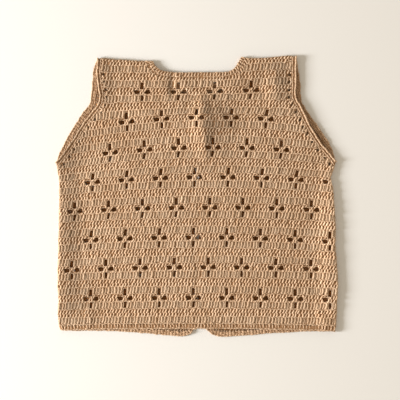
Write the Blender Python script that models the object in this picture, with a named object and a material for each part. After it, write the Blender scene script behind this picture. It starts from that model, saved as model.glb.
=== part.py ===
"""Crochet vest with an open front, laid flat with its back up.

The two fronts lie on the surface and the back lies on them. The body's cloth turns over at
both sides and at the shoulders, and each edging is one strip that turns over with it.
Driving sizes and tables are in millimetres, x to the wearer's right, y towards the neck and
z up. The meshes are in metres, with the origin under the middle of the whole vest.
"""

import math
from collections import namedtuple

import bmesh
import bpy
from mathutils import Vector
from mathutils.geometry import delaunay_2d_cdt

MM = 0.001
NAME = "crochet_vest"

# Cloth
WALL = 2.8
GAP = 0.3

# Where the cloth turns over: height of the turn's middle, and its radius outside and inside.
# The turn is an angle, from UP on the back over the fold to DOWN on a front
TURN_MIDDLE = WALL + GAP / 2
TURN_OUTER = WALL + GAP / 2
TURN_INNER = GAP / 2
UP = 0.0
DOWN = math.pi
PANEL_ROLL = tuple(math.radians(degrees) for degrees in (30, 60, 80))
STRIP_ROLL = tuple(math.radians(degrees) for degrees in (0, 36, 72, 108, 144, 180))

# Edgings
ARMHOLE_EDGING = 9.5
NECK_EDGING = 14.0
HEM_EDGING = 8.5
CURVE_STEPS = 2

# Crochet rows: the flowers repeat every 11 stitches and every 4 rows, every other row of
# them is 5 stitches on, and the fronts' rows drop towards the middle
REPEAT = 11
ROWS_APART = 4
ROW_HEIGHT = 13.12
ODD_SHIFT = 5
ALL_REPEATS = range(-7, 14)
RIGHT_SIDE_COLUMN = 7 * REPEAT
HALF_SPREAD = 240.0
FRONT_DROP = 18.0
FRONT_FLOWER_ROWS = 6
HOLE_MARGIN = 1.6

# Spots on the plain rows that let the back follow its creases, half a repeat apart
SPOT_STEP = REPEAT / 2
SPOT_STEPS = range(-3, 18)
SPOT_MARGIN = 7.0

# One line for each row of flowers, from the hem up: x of stitch column 0, stitch width,
# y at the left side, y in the middle, y at the right side, first column, flowers
FlowerRow = namedtuple("FlowerRow", "x_zero stitch y_left y_middle y_right first count")
FLOWER_ROWS = (
    FlowerRow(-186.0, 5.454, -182.1, -178.8, -182.5, 0, 8),
    FlowerRow(-187.2, 5.461, -131.6, -124.9, -129.7, -6, 8),
    FlowerRow(-186.2, 5.449, -80.9, -72.8, -81.0, 0, 8),
    FlowerRow(-181.4, 5.392, -28.5, -20.4, -25.8, -6, 8),
    FlowerRow(-183.6, 5.424, 18.3, 32.9, 23.8, 0, 8),
    FlowerRow(-178.9, 5.466, 64.0, 85.1, 72.5, 5, 6),
    FlowerRow(-184.4, 5.548, 111.8, 138.0, 122.3, 11, 5),
    FlowerRow(-189.2, 5.810, 185.0, 183.0, 193.0, 16, 4),
)

# The stitches lie closer together in the right half: how far they are pulled over at most,
# where, how far out that reaches, and the rows over which it fades
PULL = -2.3
PULL_X = 108.0
PULL_HALF_WIDTH = 125.0
PULL_LAST_ROW = 24
PULL_FADE_ROWS = 12

# The four gaps of a flower, each by its corners, counter-clockwise: stitches across and rows
# up from its middle
PETALS = {
    "left": ((-2.6, 0.2), (-2.0, -0.28), (-0.75, -0.2), (-0.7, 0.17), (-1.5, 0.26)),
    "right": ((0.6, -0.08), (1.6, -0.22), (2.6, -0.14), (2.2, 0.32), (1.5, 0.26)),
    "top": ((-0.62, 0.42), (0.42, 0.42), (0.46, 1.28), (-0.4, 1.28)),
    "bottom": ((-0.4, -1.22), (0.28, -1.22), (0.54, -0.46), (-0.3, -0.46)),
}
FRONT_PETALS = ("left", "right")

# Lines along which the cloth turns over, x then y, from the hem to the underarm
LEFT_SIDE = (
    (-242.5, -209.7),
    (-240.5, -181.4),
    (-242.5, -157.2),
    (-241.5, -102.7),
    (-239.5, -6.8),
    (-239.8, 30.0),
)
RIGHT_SIDE = (
    (242.0, -213.7),
    (244.8, -153.1),
    (242.7, -112.9),
    (239.8, -92.7),
    (240.8, -52.3),
    (237.8, -6.8),
    (235.7, 16.2),
    (231.6, 32.1),
)

# The same for the shoulders, x then y, from the armhole to the neck
LEFT_SHOULDER = ((-145.1, 237.4), (-126.5, 236.6), (-105.0, 234.2))
RIGHT_SHOULDER = ((155.0, 243.6), (124.7, 240.6), (104.0, 239.6))

# Where each edging turns over: its free edge, then the edge sewn to the body
Fold = namedtuple("Fold", "free sewn")
FOLDS = {
    "left_underarm": Fold((-246.6, 61.0), (-242.9, 48.6)),
    "right_underarm": Fold((242.8, 63.0), (238.2, 50.4)),
    "left_shoulder": Fold((-175.2, 240.0), (-165.6, 239.6)),
    "right_shoulder": Fold((174.6, 243.0), (165.0, 243.9)),
    "left_neck": Fold((-76.6, 235.0), (-90.6, 235.0)),
    "right_neck": Fold((76.4, 242.4), (90.4, 239.6)),
    "left_hem": Fold((-237.8, -235.6), (-240.2, -227.2)),
    "right_hem": Fold((240.4, -238.4), (241.2, -229.8)),
}

# Free edges between those folds, x then y. Armholes run from the shoulder down
BACK_ARMHOLE_LEFT = (
    (-175.8, 226.0),
    (-176.4, 210.0),
    (-172.6, 188.0),
    (-171.6, 166.0),
    (-184.0, 148.0),
    (-199.2, 129.1),
    (-219.4, 96.8),
    (-234.0, 76.0),
)
FRONT_ARMHOLE_LEFT = (
    (-182.0, 226.0),
    (-184.1, 203.6),
    (-187.9, 165.3),
    (-199.2, 149.1),
    (-215.3, 124.9),
    (-231.3, 96.8),
    (-241.8, 77.0),
)
BACK_ARMHOLE_RIGHT = (
    (174.2, 226.0),
    (174.0, 200.0),
    (174.2, 173.3),
    (181.2, 161.2),
    (201.4, 118.9),
    (221.6, 88.7),
    (233.6, 75.2),
)
FRONT_ARMHOLE_RIGHT = (
    (178.3, 223.8),
    (182.3, 193.5),
    (184.4, 165.3),
    (205.5, 133.0),
    (225.7, 104.9),
    (238.0, 83.0),
)

# The back's neck, from left to right, and each front's, from the shoulder to the middle
BACK_NECK = (
    (-72.4, 229.0),
    (-65.0, 222.4),
    (-52.0, 219.0),
    (-33.5, 217.2),
    (0.0, 217.6),
    (43.9, 217.8),
    (60.0, 220.8),
    (68.6, 229.4),
)
FRONT_NECK_LEFT = ((-71.0, 221.0), (-58.0, 209.0), (-38.0, 200.5), (-20.0, 195.5), (-6.0, 193.0))
FRONT_NECK_RIGHT = ((71.0, 224.0), (59.0, 211.0), (41.0, 202.0), (24.0, 196.5), (9.5, 194.0))

# The back's hem, from left to right, and each front's, from its side to its rounded corner
BACK_HEM = (
    (-226.0, -236.2),
    (-195.0, -234.8),
    (-154.7, -233.8),
    (-60.0, -233.2),
    (40.4, -232.9),
    (140.0, -234.2),
    (217.6, -236.2),
)
FRONT_HEM_LEFT = (
    (-220.0, -236.6),
    (-185.0, -236.4),
    (-146.6, -237.2),
    (-94.3, -241.0),
    (-58.0, -244.4),
    (-33.7, -245.9),
)
FRONT_HEM_RIGHT = (
    (222.0, -238.0),
    (189.3, -237.8),
    (128.9, -241.0),
    (84.5, -245.0),
    (58.3, -246.9),
)
LEFT_MIDDLE_EDGE = -6.0
RIGHT_MIDDLE_EDGE = 9.5
LEFT_CORNER_RADIUS = 16.0
RIGHT_CORNER_RADIUS = 33.0
CORNER_STEPS = 5

# How far the back lies up off the fronts in its middle, and how far out that reaches
LOFT_HEIGHT = 1.3
LOFT_HALF_WIDTH = 232.0
LOFT_HALF_LENGTH = 225.0

# Soft ridges and troughs of the back: middle, half length, half width, direction of the
# length in degrees from x, height at the middle
Crease = namedtuple("Crease", "x y half_length half_width direction height")
CREASES = (
    Crease(12.0, 120.0, 78.0, 17.0, 94.0, -0.9),
    Crease(2.0, -110.0, 118.0, 13.0, 91.0, -0.7),
    Crease(4.0, 206.0, 44.0, 17.0, 0.0, -1.8),
    Crease(-60.0, 190.0, 46.0, 15.0, 120.0, 1.0),
    Crease(64.0, 192.0, 44.0, 15.0, 60.0, 0.9),
    Crease(219.0, -219.0, 34.0, 14.0, 110.0, 1.6),
    Crease(-186.0, -206.0, 46.0, 16.0, 75.0, 1.1),
    Crease(-120.0, 60.0, 90.0, 30.0, 128.0, 0.7),
    Crease(130.0, 40.0, 80.0, 28.0, 50.0, 0.6),
)

# Filling a panel's outline: triangles inside it only, to this tolerance
FILL_INSIDE = 1
FILL_TOLERANCE = 1e-5

# Colour of the yarn as seen, red green blue from 0 to 1
DISPLAY_GAMMA = 2.2
CLOTH_COLOUR = (0.69, 0.55, 0.43)
EDGING_COLOUR = (0.72, 0.58, 0.46)
CLOTH_ROUGHNESS = 0.95

# Edges between faces that meet more sharply than this stay sharp
SHARP_ANGLE = math.radians(50)

# A point of the cloth: where it lies in plan, how far it has turned over and which way
Spot = namedtuple("Spot", "x y turn out_x out_y")


def remove_all():
    """Empties the scene that the script starts in."""
    for thing in list(bpy.data.objects):
        bpy.data.objects.remove(thing, do_unlink=True)


def smooth_path(points, steps=CURVE_STEPS):
    """A Catmull-Rom curve through the points, with this many stretches between two of them."""
    path = []
    last = len(points) - 1
    for i in range(last):
        before = Vector(points[max(i - 1, 0)])
        start = Vector(points[i])
        end = Vector(points[i + 1])
        after = Vector(points[min(i + 2, last)])
        for step in range(steps):
            t = step / steps
            point = (
                start * 2
                + (end - before) * t
                + (before * 2 - start * 5 + end * 4 - after) * t * t
                + (start * 3 - before - end * 3 + after) * t * t * t
            )
            path.append(point / 2)
    path.append(Vector(points[-1]))
    return path


def sideways(path, distance):
    """The path moved to the left of its own direction."""
    moved = []
    last = len(path) - 1
    for i, point in enumerate(path):
        along = (path[min(i + 1, last)] - path[max(i - 1, 0)]).normalized()
        moved.append(point + Vector((-along.y, along.x)) * distance)
    return moved


def sewn_side(fold):
    """The body's corner beside an edging's fold, a gap away from its sewn edge."""
    free, sewn = Vector(fold.free), Vector(fold.sewn)
    return sewn + (sewn - free).normalized() * GAP


def relief(x, y):
    """Height of the back's loft and soft creases over its level."""
    reach = (x / LOFT_HALF_WIDTH) ** 4 + (y / LOFT_HALF_LENGTH) ** 4
    total = LOFT_HEIGHT * max(1.0 - reach, 0.0)
    for crease in CREASES:
        angle = math.radians(crease.direction)
        dx, dy = x - crease.x, y - crease.y
        along = (dx * math.cos(angle) + dy * math.sin(angle)) / crease.half_length
        across = (dy * math.cos(angle) - dx * math.sin(angle)) / crease.half_width
        reach = math.hypot(along, across)
        if reach < 1.0:
            total += crease.height * math.cos(reach * math.pi / 2) ** 2
    return total


def stitch_place(column, row):
    """x and y on the back of a stitch column and a crochet row counted from the first flowers."""
    last = len(FLOWER_ROWS) - 1
    level = row / ROWS_APART
    below = min(max(int(math.floor(level)), 0), last - 1)
    lower, upper = FLOWER_ROWS[below], FLOWER_ROWS[below + 1]
    part = min(max(level - below, 0.0), 1.0)
    x = (lower.x_zero + column * lower.stitch) * (1 - part)
    x += (upper.x_zero + column * upper.stitch) * part
    reach = min(abs(x - PULL_X) / PULL_HALF_WIDTH, 1.0)
    fade = min(max((PULL_LAST_ROW - row) / PULL_FADE_ROWS, 0.0), 1.0)
    x += PULL * fade * math.cos(reach * math.pi / 2) ** 2
    spread = x / HALF_SPREAD
    y = bowed(lower, spread) * (1 - part) + bowed(upper, spread) * part
    y += (level - below - part) * ROWS_APART * ROW_HEIGHT
    return Vector((x, y))


def bowed(row, spread):
    """y of a flower row at -1 for the left side to 1 for the right."""
    tilt = (row.y_right - row.y_left) / 2
    bow = (row.y_right + row.y_left) / 2 - row.y_middle
    return row.y_middle + tilt * spread + bow * spread * spread


def front_place(column, row, side):
    """The same on the front at this side, -1 left or 1 right, where the rows have turned over."""
    turn_x = LEFT_SIDE[0][0] - TURN_OUTER if side < 0 else RIGHT_SIDE[0][0] + TURN_OUTER
    flat = stitch_place(column, row)
    x = 2 * turn_x - flat.x
    inwards = 1 - min(abs(x / turn_x), 1.0)
    edge = stitch_place(0 if side < 0 else RIGHT_SIDE_COLUMN, row).y
    return Vector((x, edge - FRONT_DROP * inwards))


def flower_columns(index):
    """Stitch columns of all flowers in one row of flowers, far past both sides of the back."""
    shift = ODD_SHIFT if index % 2 else 0
    return [shift + REPEAT * k for k in ALL_REPEATS]


def back_holes():
    """The petals of the back's flowers, each a list of corners. Any of them may be cut alone."""
    groups = []
    for index, flowers in enumerate(FLOWER_ROWS):
        row = index * ROWS_APART
        for k in range(flowers.count):
            column = flowers.first + REPEAT * k
            for corners in PETALS.values():
                groups.append([[stitch_place(column + s, row + t) for s, t in corners]])
    return groups


def front_holes(side):
    """The side petals of one front's flowers, cut only where both of a flower's fit."""
    groups = []
    for index in range(FRONT_FLOWER_ROWS):
        row = index * ROWS_APART
        for column in flower_columns(index):
            pair = []
            for petal in FRONT_PETALS:
                corners = reversed(PETALS[petal])
                pair.append([front_place(column + s, row + t, side) for s, t in corners])
            if side * pair[0][0].x > 0:
                groups.append(pair)
    return groups


def inside(point, outline, margin):
    """True if the point is inside the closed outline and further than the margin from it."""
    crossings = 0
    for i, start in enumerate(outline):
        end = outline[(i + 1) % len(outline)]
        span = end - start
        along = (point - start).dot(span) / span.length_squared
        nearest = start + span * min(max(along, 0.0), 1.0)
        if (point - nearest).length < margin:
            return False
        if (start.y > point.y) != (end.y > point.y):
            if point.x < start.x + (point.y - start.y) / span.y * span.x:
                crossings += 1
    return crossings % 2 == 1


def out_of_fold(start, end, outward):
    """Unit vector out of the cloth, square to a fold line's stretch."""
    along = (end - start).normalized()
    normal = Vector((along.y, -along.x))
    return normal if normal.dot(Vector(outward)) > 0 else -normal


def rolled(line, normals, level):
    """Rows of spots beyond a fold line, down to where the panel ends at the turn's side."""
    rows = []
    for angle in PANEL_ROLL:
        turn = angle if level == UP else DOWN - angle
        rows.append([Spot(p.x, p.y, turn, n.x, n.y) for p, n in zip(line, normals)])
    return rows


def panel_outline(stretches, level):
    """Joins stretches of a panel's edge. Returns its outermost spots and the lines inside them.

    A stretch is its points and the ways out of its fold, or None where the edge is plain.
    """
    border, lines = [], []
    for points, normals in stretches:
        base = [Spot(p.x, p.y, level, 0.0, 0.0) for p in points]
        if normals is None:
            border += base
            continue
        rows = rolled(points, normals, level)
        border += [base[0]] + [row[0] for row in rows[:-1]] + rows[-1]
        border += [row[-1] for row in reversed(rows[:-1])] + [base[-1]]
        lines += [base, *rows[:-1]]
    return without_repeats(border), lines


def without_repeats(spots):
    """Leaves out a spot that is at the place of the one before it."""
    kept = []
    for spot in spots:
        if not kept or (plan(spot) - plan(kept[-1])).length > GAP / 2:
            kept.append(spot)
    if (plan(kept[0]) - plan(kept[-1])).length < GAP / 2:
        kept.pop()
    return kept


def plan(spot):
    """Where the outer face of a spot lies, seen from above."""
    reach = TURN_OUTER * math.sin(spot.turn)
    return Vector((spot.x + spot.out_x * reach, spot.y + spot.out_y * reach))


def panel_mesh(border, lines, holes, inner_spots, level):
    """Fills a panel's outline around its holes. Returns spots and faces of three corners."""
    spots = list(border)
    faces = [list(range(len(border)))]
    edges = []
    index_at = {plan(spot).to_tuple(4): i for i, spot in enumerate(spots)}
    for line in lines:
        numbers = []
        for spot in line:
            key = plan(spot).to_tuple(4)
            if key not in index_at:
                index_at[key] = len(spots)
                spots.append(spot)
            numbers.append(index_at[key])
        edges += list(zip(numbers, numbers[1:]))
    for hole in holes:
        faces.append(list(range(len(spots), len(spots) + len(hole))))
        spots += [Spot(p.x, p.y, level, 0.0, 0.0) for p in hole]
    spots += [Spot(p.x, p.y, level, 0.0, 0.0) for p in inner_spots]
    flat = [plan(spot) for spot in spots]
    filled = delaunay_2d_cdt(flat, edges, faces, FILL_INSIDE, FILL_TOLERANCE)
    triangles, point_sources, face_sources = filled[2], filled[3], filled[5]
    kept = [t for t, sources in zip(triangles, face_sources) if sources == [0]]
    return [spots[sources[0]] for sources in point_sources], kept


def raised(spot, x, y):
    """How far the back's creases lift a spot. A front lies flat."""
    return relief(x, y) * max(math.cos(spot.turn), 0.0)


def outer_place(spot):
    """The face of the cloth that shows."""
    place = plan(spot)
    height = TURN_MIDDLE + TURN_OUTER * math.cos(spot.turn)
    return Vector((place.x, place.y, height + raised(spot, place.x, place.y)))


def panel_inner_place(spot):
    """The hidden face of a panel, flat up to the fold."""
    place = plan(spot)
    height = TURN_MIDDLE + math.copysign(TURN_INNER, math.cos(spot.turn))
    return Vector((place.x, place.y, height + raised(spot, place.x, place.y)))


def strip_inner_place(spot):
    """The hidden face of an edging, which turns close round the fold."""
    reach = TURN_INNER * math.sin(spot.turn)
    x, y = spot.x + spot.out_x * reach, spot.y + spot.out_y * reach
    height = TURN_MIDDLE + TURN_INNER * math.cos(spot.turn)
    return Vector((x, y, height + raised(spot, x, y)))


def wall(name, spots, faces, inner_place, colour, collection):
    """A closed wall between the outer and the inner face of a sheet of cloth."""
    mesh = bpy.data.meshes.new(name)
    shape = bmesh.new()
    order = shape.verts.layers.int.new("order")
    for i, spot in enumerate(spots):
        vert = shape.verts.new(inner_place(spot))
        vert[order] = i
    shape.verts.ensure_lookup_table()
    for face in faces:
        shape.faces.new([shape.verts[i] for i in face])
    loose = [vert for vert in shape.verts if not vert.link_faces]
    bmesh.ops.delete(shape, geom=loose, context="VERTS")
    grown = bmesh.ops.extrude_face_region(shape, geom=shape.faces[:])["geom"]
    for vert in grown:
        if isinstance(vert, bmesh.types.BMVert):
            vert.co = outer_place(spots[vert[order]])
    bmesh.ops.recalc_face_normals(shape, faces=shape.faces[:])
    for vert in shape.verts:
        vert.co *= MM
    for face in shape.faces:
        face.smooth = True
    shape.to_mesh(mesh)
    shape.free()
    mesh.set_sharp_from_angle(angle=SHARP_ANGLE)
    mesh.materials.append(cloth_material(name, colour))
    thing = bpy.data.objects.new(name, mesh)
    collection.objects.link(thing)
    return thing


def cloth_material(name, colour):
    """A matt yarn colour of the piece's own."""
    material = bpy.data.materials.new(name)
    material.use_nodes = True
    shader = material.node_tree.nodes["Principled BSDF"]
    linear = [value**DISPLAY_GAMMA for value in colour]
    shader.inputs["Base Color"].default_value = (*linear, 1.0)
    shader.inputs["Roughness"].default_value = CLOTH_ROUGHNESS
    shader.inputs["Metallic"].default_value = 0.0
    return material


def panel(name, stretches, groups, level, collection):
    """One panel of the body, with the groups of gaps that fit inside it cut through."""
    border, lines = panel_outline(stretches, level)
    points = [p for stretch, _ in stretches for p in stretch]
    flat = without_repeats([Spot(p.x, p.y, level, 0.0, 0.0) for p in points])
    outline = [plan(spot) for spot in flat]
    fitting = []
    for holes in groups:
        if all(inside(p, outline, HOLE_MARGIN) for hole in holes for p in hole):
            fitting += holes
    spots, faces = panel_mesh(border, lines, fitting, inner_grid(outline, level), level)
    return wall(name, spots, faces, panel_inner_place, CLOTH_COLOUR, collection), len(fitting)


def inner_grid(outline, level):
    """Spots on the plain rows between the flowers, so that the back can follow its creases."""
    if level == DOWN:
        return []
    grid = []
    for index in range(-1, len(FLOWER_ROWS)):
        for k in SPOT_STEPS:
            point = stitch_place(SPOT_STEP * k, (index + 0.5) * ROWS_APART)
            if inside(point, outline, SPOT_MARGIN):
                grid.append(point)
    return grid


def sections(free, sewn, level):
    """Cross sections of an edging that lies flat: its free and its sewn spot."""
    pairs = []
    for a, b in zip(free, sewn):
        pairs.append((Spot(a.x, a.y, level, 0.0, 0.0), Spot(b.x, b.y, level, 0.0, 0.0)))
    return pairs


def turned_sections(fold, outward, down):
    """Cross sections of an edging where it turns over, downwards or back up."""
    free, sewn = Vector(fold.free), Vector(fold.sewn)
    out = out_of_fold(free, sewn, outward)
    pairs = []
    for turn in STRIP_ROLL if down else reversed(STRIP_ROLL):
        pairs.append(tuple(Spot(p.x, p.y, turn, out.x, out.y) for p in (free, sewn)))
    return pairs


def strip(name, pairs, closed, collection):
    """An edging through its cross sections."""
    spots = [spot for pair in pairs for spot in pair]
    count = len(pairs)
    faces = []
    for i in range(count if closed else count - 1):
        j = (i + 1) % count
        faces.append((2 * i, 2 * i + 1, 2 * j + 1, 2 * j))
    return wall(name, spots, faces, strip_inner_place, EDGING_COLOUR, collection)


def between(first, points, last, width):
    """Free edge from one fold to another, its sewn edge and the body's edge beside that.

    The sewn edge is to the right of the way the points run, or to the left for a width below 0.
    """
    path = smooth_path([first.free, *points, last.free])
    away = math.copysign(GAP, width)
    sewn = [Vector(first.sewn)] + sideways(path, -width)[1:-1] + [Vector(last.sewn)]
    body = [sewn_side(first)] + sideways(path, -width - away)[1:-1] + [sewn_side(last)]
    return path, sewn, body


def to_middle(first, points, width):
    """The same from a fold to an edging's plain end at a front's middle edge."""
    path = smooth_path([first.free, *points])
    away = math.copysign(GAP, width)
    sewn = [Vector(first.sewn)] + sideways(path, -width)[1:]
    body = [sewn_side(first)] + sideways(path, -width - away)[1:]
    return path, sewn, body


def front_neck(first, points, width):
    """A front's neck edging, whose end is cut straight along the front's middle edge."""
    path, sewn, body = to_middle(first, points, width)
    end = path[-1]
    sewn[-1] = Vector((end.x, end.y - abs(width)))
    body[-1] = Vector((end.x, end.y - abs(width) - GAP))
    return path, sewn, body


def rounded_corner(points, middle_edge, radius, side):
    """A front's hem with the arc that takes it up to the middle edge."""
    x, y = middle_edge + side * radius, points[-1][1] + radius
    arc = []
    for step in range(CORNER_STEPS + 1):
        angle = math.pi / 2 * step / CORNER_STEPS
        arc.append((x - side * radius * math.sin(angle), y - radius * math.cos(angle)))
    return [*points, *arc]


def corner_notch(body, middle_edge):
    """The body's edge past the end of the hem edging, up to the middle edge."""
    end = body[-1]
    return [*body, Vector((end.x, end.y + GAP)), Vector((middle_edge, end.y + GAP))]


def fold_line(first, points, last, outward):
    """A fold line of the body from one edging to another, with the ways out of it.

    Both ends turn over square to the edging beside them.
    """
    line = [sewn_side(first), *[Vector(p) for p in points], sewn_side(last)]
    normals = [out_of_fold(a, b, outward) for a, b in zip(line, line[2:])]
    start = out_of_fold(Vector(first.free), Vector(first.sewn), outward)
    end = out_of_fold(Vector(last.free), Vector(last.sewn), outward)
    return line, [start, *normals, end]


def reverse(stretch):
    """The same stretch run the other way."""
    return tuple(part[::-1] for part in stretch)


def edges_of_vest():
    """Every edging's free, sewn and body edge by name."""
    folds = FOLDS
    left_hem = rounded_corner(FRONT_HEM_LEFT, LEFT_MIDDLE_EDGE, LEFT_CORNER_RADIUS, -1)
    right_hem = rounded_corner(FRONT_HEM_RIGHT, RIGHT_MIDDLE_EDGE, RIGHT_CORNER_RADIUS, 1)
    armhole, neck, hem = ARMHOLE_EDGING, NECK_EDGING, HEM_EDGING
    left_arm = (folds["left_shoulder"], folds["left_underarm"])
    right_arm = (folds["right_shoulder"], folds["right_underarm"])
    return {
        "back_arm_left": between(left_arm[0], BACK_ARMHOLE_LEFT, left_arm[1], -armhole),
        "front_arm_left": between(left_arm[0], FRONT_ARMHOLE_LEFT, left_arm[1], -armhole),
        "back_arm_right": between(right_arm[0], BACK_ARMHOLE_RIGHT, right_arm[1], armhole),
        "front_arm_right": between(right_arm[0], FRONT_ARMHOLE_RIGHT, right_arm[1], armhole),
        "back_neck": between(folds["left_neck"], BACK_NECK, folds["right_neck"], neck),
        "front_neck_left": front_neck(folds["left_neck"], FRONT_NECK_LEFT, neck),
        "front_neck_right": front_neck(folds["right_neck"], FRONT_NECK_RIGHT, -neck),
        "back_hem": between(folds["left_hem"], BACK_HEM, folds["right_hem"], -hem),
        "front_hem_left": to_middle(folds["left_hem"], left_hem, -hem),
        "front_hem_right": to_middle(folds["right_hem"], right_hem, hem),
    }


def body_folds():
    """The body's four fold lines by name."""
    folds = FOLDS
    sides = (("left", LEFT_SIDE, (-1, 0)), ("right", RIGHT_SIDE, (1, 0)))
    lines = {}
    for side, points, outward in sides:
        low, high = folds[side + "_hem"], folds[side + "_underarm"]
        lines[side + "_side"] = fold_line(low, points, high, outward)
    for side, points in (("left", LEFT_SHOULDER), ("right", RIGHT_SHOULDER)):
        arm, neck = folds[side + "_shoulder"], folds[side + "_neck"]
        lines[side + "_shoulder"] = fold_line(arm, points, neck, (0, 1))
    return lines


def make_back(edges, folds, collection):
    """The back, one panel from side to side."""
    stretches = (
        (edges["back_hem"][2], None),
        folds["right_side"],
        (edges["back_arm_right"][2][::-1], None),
        folds["right_shoulder"],
        (edges["back_neck"][2][::-1], None),
        reverse(folds["left_shoulder"]),
        (edges["back_arm_left"][2], None),
        reverse(folds["left_side"]),
    )
    return panel("back", stretches, back_holes(), UP, collection)


def make_front_left(edges, folds, collection):
    """The front at -x, from its side to its middle edge."""
    stretches = (
        (corner_notch(edges["front_hem_left"][2], LEFT_MIDDLE_EDGE), None),
        (edges["front_neck_left"][2][::-1], None),
        reverse(folds["left_shoulder"]),
        (edges["front_arm_left"][2], None),
        reverse(folds["left_side"]),
    )
    return panel("front_left", stretches, front_holes(-1), DOWN, collection)


def make_front_right(edges, folds, collection):
    """The front at +x, from its middle edge to its side."""
    stretches = (
        (corner_notch(edges["front_hem_right"][2], RIGHT_MIDDLE_EDGE)[::-1], None),
        folds["right_side"],
        (edges["front_arm_right"][2][::-1], None),
        folds["right_shoulder"],
        (edges["front_neck_right"][2], None),
    )
    return panel("front_right", stretches, front_holes(1), DOWN, collection)


def make_armhole_edging(edges, side, outward, collection):
    """A ring round one armhole: down its back, over at the underarm, up its front and over."""
    back, front = edges["back_arm_" + side], edges["front_arm_" + side]
    pairs = sections(back[0][1:-1], back[1][1:-1], UP)
    pairs += turned_sections(FOLDS[side + "_underarm"], outward, True)
    pairs += sections(front[0][-2:0:-1], front[1][-2:0:-1], DOWN)
    pairs += turned_sections(FOLDS[side + "_shoulder"], (0, 1), False)
    return strip("armhole_edging_" + side, pairs, True, collection)


def make_neck_edging(edges, collection):
    """A strip up the left front's neck, over the shoulder, along the back and down again."""
    left, back, right = (edges[k] for k in ("front_neck_left", "back_neck", "front_neck_right"))
    pairs = sections(left[0][:0:-1], left[1][:0:-1], DOWN)
    pairs += turned_sections(FOLDS["left_neck"], (0, 1), False)
    pairs += sections(back[0][1:-1], back[1][1:-1], UP)
    pairs += turned_sections(FOLDS["right_neck"], (0, 1), True)
    pairs += sections(right[0][1:], right[1][1:], DOWN)
    return strip("neck_edging", pairs, False, collection)


def make_hem_edging(edges, collection):
    """A strip along the left front's hem, over at the side, along the back and on to the right."""
    left, back, right = (edges[k] for k in ("front_hem_left", "back_hem", "front_hem_right"))
    pairs = sections(left[0][:0:-1], left[1][:0:-1], DOWN)
    pairs += turned_sections(FOLDS["left_hem"], (-1, 0), False)
    pairs += sections(back[0][1:-1], back[1][1:-1], UP)
    pairs += turned_sections(FOLDS["right_hem"], (1, 0), True)
    pairs += sections(right[0][1:], right[1][1:], DOWN)
    return strip("hem_edging", pairs, False, collection)


def centre(things):
    """Moves the whole vest so that the origin is under its middle."""
    corners = [vert.co for thing in things for vert in thing.data.vertices]
    low = Vector([min(co[axis] for co in corners) for axis in range(3)])
    high = Vector([max(co[axis] for co in corners) for axis in range(3)])
    middle = Vector(((low.x + high.x) / 2, (low.y + high.y) / 2, low.z))
    for thing in things:
        for vert in thing.data.vertices:
            vert.co -= middle
    print("moved by", [round(value / MM, 3) for value in -middle], "mm, size", high - low)


def main():
    remove_all()
    collection = bpy.data.collections.new(NAME)
    bpy.context.scene.collection.children.link(collection)
    edges, folds = edges_of_vest(), body_folds()
    back, back_gaps = make_back(edges, folds, collection)
    left, left_gaps = make_front_left(edges, folds, collection)
    right, right_gaps = make_front_right(edges, folds, collection)
    print("gaps cut through:", back_gaps, left_gaps, right_gaps)
    centre(
        [
            back,
            left,
            right,
            make_armhole_edging(edges, "left", (-1, 0), collection),
            make_armhole_edging(edges, "right", (1, 0), collection),
            make_neck_edging(edges, collection),
            make_hem_edging(edges, collection),
        ]
    )


main()
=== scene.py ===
"""Looks of the crochet vest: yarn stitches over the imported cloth, on a pale floor in low light.

Sizes and tables are in millimetres, in the same plan as the part's: x to the wearer's right,
y towards the neck, z up. MOVED takes that plan to the frame, and MM to metres.
"""

import math
from collections import namedtuple
from functools import partial

import bpy
import numpy as np
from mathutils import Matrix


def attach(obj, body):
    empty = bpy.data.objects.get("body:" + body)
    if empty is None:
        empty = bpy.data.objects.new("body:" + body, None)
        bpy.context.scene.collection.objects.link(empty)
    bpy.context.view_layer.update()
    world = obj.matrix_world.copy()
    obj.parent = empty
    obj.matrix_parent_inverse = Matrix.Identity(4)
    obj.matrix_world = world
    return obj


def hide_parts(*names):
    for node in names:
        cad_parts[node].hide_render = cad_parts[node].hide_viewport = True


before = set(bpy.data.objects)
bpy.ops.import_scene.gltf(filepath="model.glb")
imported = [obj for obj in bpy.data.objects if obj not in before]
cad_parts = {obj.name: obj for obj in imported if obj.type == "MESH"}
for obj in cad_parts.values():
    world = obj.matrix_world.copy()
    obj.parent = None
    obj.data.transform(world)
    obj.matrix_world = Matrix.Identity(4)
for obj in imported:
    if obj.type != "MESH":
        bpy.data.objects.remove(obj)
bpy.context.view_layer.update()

MM = 0.001
MOVED = np.array((0.792, 0.150, 0.0))
SEED = 467

# Cloth: its wall, where it turns over, and how far its core lies inside the wall
WALL = 2.8
GAP = 0.3
TURN_MIDDLE = WALL + GAP / 2
TURN_OUTER = WALL + GAP / 2
MID_RADIUS = TURN_OUTER - WALL / 2
CORE_INSET = 0.9

# Edgings: their widths, and how far the cloth has turned over, from UP on the back to DOWN on
# a front
ARMHOLE_EDGING = 9.5
NECK_EDGING = 14.0
HEM_EDGING = 8.5
CURVE_STEPS = 2
SIDES = {"left": -1, "right": 1}
STRIP_ROLL = tuple(math.radians(degrees) for degrees in (0, 36, 72, 108, 144, 180))
UP = 0.0
DOWN = math.pi

# Crochet rows, as in the part. A front's rows start at the level of the back's in SIDE_COLUMNS,
# and drop by FRONT_DROP towards the middle
REPEAT = 11
ROWS_APART = 4
ROW_HEIGHT = 13.12
ODD_SHIFT = 5
FLOWERS_EACH_WAY = range(-7, 14)
SIDE_COLUMNS = {"left": 0, "right": 7 * REPEAT}
HALF_SPREAD = 240.0
FRONT_DROP = 18.0
FRONT_FLOWER_ROWS = 6

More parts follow.
